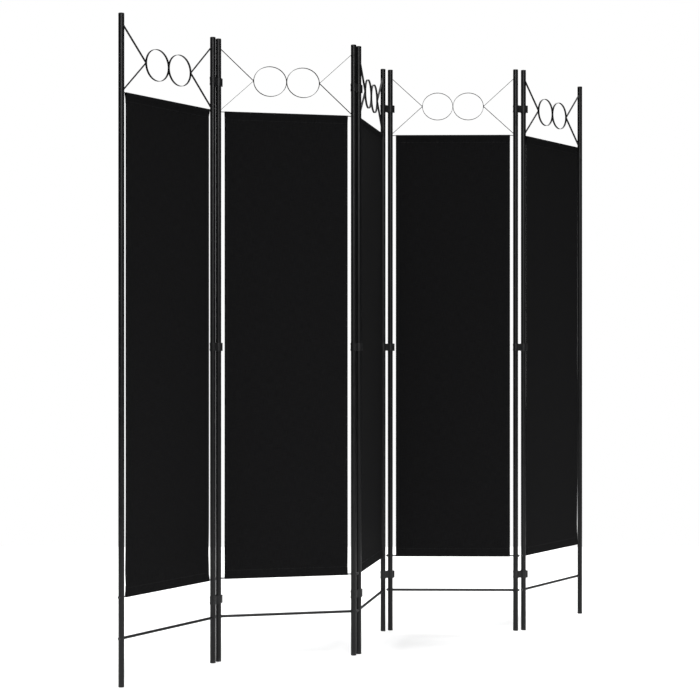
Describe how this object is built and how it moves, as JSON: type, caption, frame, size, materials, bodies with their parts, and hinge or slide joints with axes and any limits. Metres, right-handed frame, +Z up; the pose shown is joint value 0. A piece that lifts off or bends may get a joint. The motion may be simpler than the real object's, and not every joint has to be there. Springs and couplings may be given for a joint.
{
  "type": "folding room divider screen",
  "caption": "Freestanding folding screen: fabric panels between slim round posts, oval scroll work on top, joined by plastic clip hinges.",
  "frame": {"origin": "on the floor, at the middle of the box round the standing screen", "axes": "+Z up; +X to the right along the screen as it is seen from the front; +Y away from the front"},
  "size_m": [1.4139, 1.2504, 1.8],
  "materials": {
    "frame_coat": "black powder coat, satin",
    "nut_coat": "black, semi-gloss",
    "clip_plastic": "black moulded, fine texture",
    "plug_plastic": "black moulded",
    "cloth": "black plain weave, matt"
  },
  "bodies": {
    "panel_1": {"panel_1_left_post": "frame_coat", "panel_1_right_post": "frame_coat", "panel_1_post_plugs": "plug_plastic", "panel_1_feet": "plug_plastic", "panel_1_scroll_straps": "frame_coat", "panel_1_scroll_rings": "frame_coat", "panel_1_top_rail": "frame_coat", "panel_1_bottom_rod": "frame_coat", "panel_1_cross_bar": "frame_coat", "panel_1_cap_nuts": "nut_coat", "panel_1_fabric": "cloth"},
    "panel_2": {"panel_2_left_post": "frame_coat", "panel_2_right_post": "frame_coat", "panel_2_post_plugs": "plug_plastic", "panel_2_feet": "plug_plastic", "panel_2_scroll_straps": "frame_coat", "panel_2_scroll_rings": "frame_coat", "panel_2_top_rail": "frame_coat", "panel_2_bottom_rod": "frame_coat", "panel_2_cross_bar": "frame_coat", "panel_2_cap_nuts": "nut_coat", "panel_2_fabric": "cloth"},
    "panel_3": {"panel_3_left_post": "frame_coat", "panel_3_right_post": "frame_coat", "panel_3_post_plugs": "plug_plastic", "panel_3_feet": "plug_plastic", "panel_3_scroll_straps": "frame_coat", "panel_3_scroll_rings": "frame_coat", "panel_3_top_rail": "frame_coat", "panel_3_bottom_rod": "frame_coat", "panel_3_cross_bar": "frame_coat", "panel_3_cap_nuts": "nut_coat", "panel_3_fabric": "cloth"},
    "panel_4": {"panel_4_left_post": "frame_coat", "panel_4_right_post": "frame_coat", "panel_4_post_plugs": "plug_plastic", "panel_4_feet": "plug_plastic", "panel_4_scroll_straps": "frame_coat", "panel_4_scroll_rings": "frame_coat", "panel_4_top_rail": "frame_coat", "panel_4_bottom_rod": "frame_coat", "panel_4_cross_bar": "frame_coat", "panel_4_cap_nuts": "nut_coat", "panel_4_fabric": "cloth"},
    "panel_5": {"panel_5_left_post": "frame_coat", "panel_5_right_post": "frame_coat", "panel_5_post_plugs": "plug_plastic", "panel_5_feet": "plug_plastic", "panel_5_scroll_straps": "frame_coat", "panel_5_scroll_rings": "frame_coat", "panel_5_top_rail": "frame_coat", "panel_5_bottom_rod": "frame_coat", "panel_5_cross_bar": "frame_coat", "panel_5_cap_nuts": "nut_coat", "panel_5_fabric": "cloth"},
    "hinge_1": {"hinge_1_clips": "clip_plastic"},
    "hinge_2": {"hinge_2_clips": "clip_plastic"},
    "hinge_3": {"hinge_3_clips": "clip_plastic"},
    "hinge_4": {"hinge_4_clips": "clip_plastic"}
  },
  "joints": [
    {"name": "hinge_3_on_panel_3", "type": "hinge", "parent": "panel_3", "child": "hinge_3", "pos_m": [0.0184, 0.26227, 0], "axis": [0, 0, -1], "range_deg": [-134.5, 45.5]},
    {"name": "panel_4_on_hinge_3", "type": "hinge", "parent": "hinge_3", "child": "panel_4", "pos_m": [0.04202, 0.27821, 0], "axis": [0, 0, -1], "range_deg": [-125, 55]},
    {"name": "hinge_4_on_panel_4", "type": "hinge", "parent": "panel_4", "child": "hinge_4", "pos_m": [0.44396, 0.27119, 0], "axis": [0, 0, 1], "range_deg": [-113.5, 66.5]},
    {"name": "panel_5_on_hinge_4", "type": "hinge", "parent": "hinge_4", "child": "panel_5", "pos_m": [0.47029, 0.2821, 0], "axis": [0, 0, 1], "range_deg": [-123, 57]},
    {"name": "hinge_2_on_panel_3", "type": "hinge", "parent": "panel_3", "child": "hinge_2", "pos_m": [-0.06175, -0.13166, 0], "axis": [0, 0, -1], "range_deg": [-110.5, 69.5]},
    {"name": "panel_2_on_hinge_2", "type": "hinge", "parent": "hinge_2", "child": "panel_2", "pos_m": [-0.07685, -0.15583, 0], "axis": [0, 0, -1], "range_deg": [-134.5, 45.5]},
    {"name": "hinge_1_on_panel_2", "type": "hinge", "parent": "panel_2", "child": "hinge_1", "pos_m": [-0.46775, -0.24967, 0], "axis": [0, 0, 1], "range_deg": [-136.5, 43.5]},
    {"name": "panel_1_on_hinge_1", "type": "hinge", "parent": "hinge_1", "child": "panel_1", "pos_m": [-0.482, -0.27435, 0], "axis": [0, 0, 1], "range_deg": [-87.5, 92.5]}
  ]
}
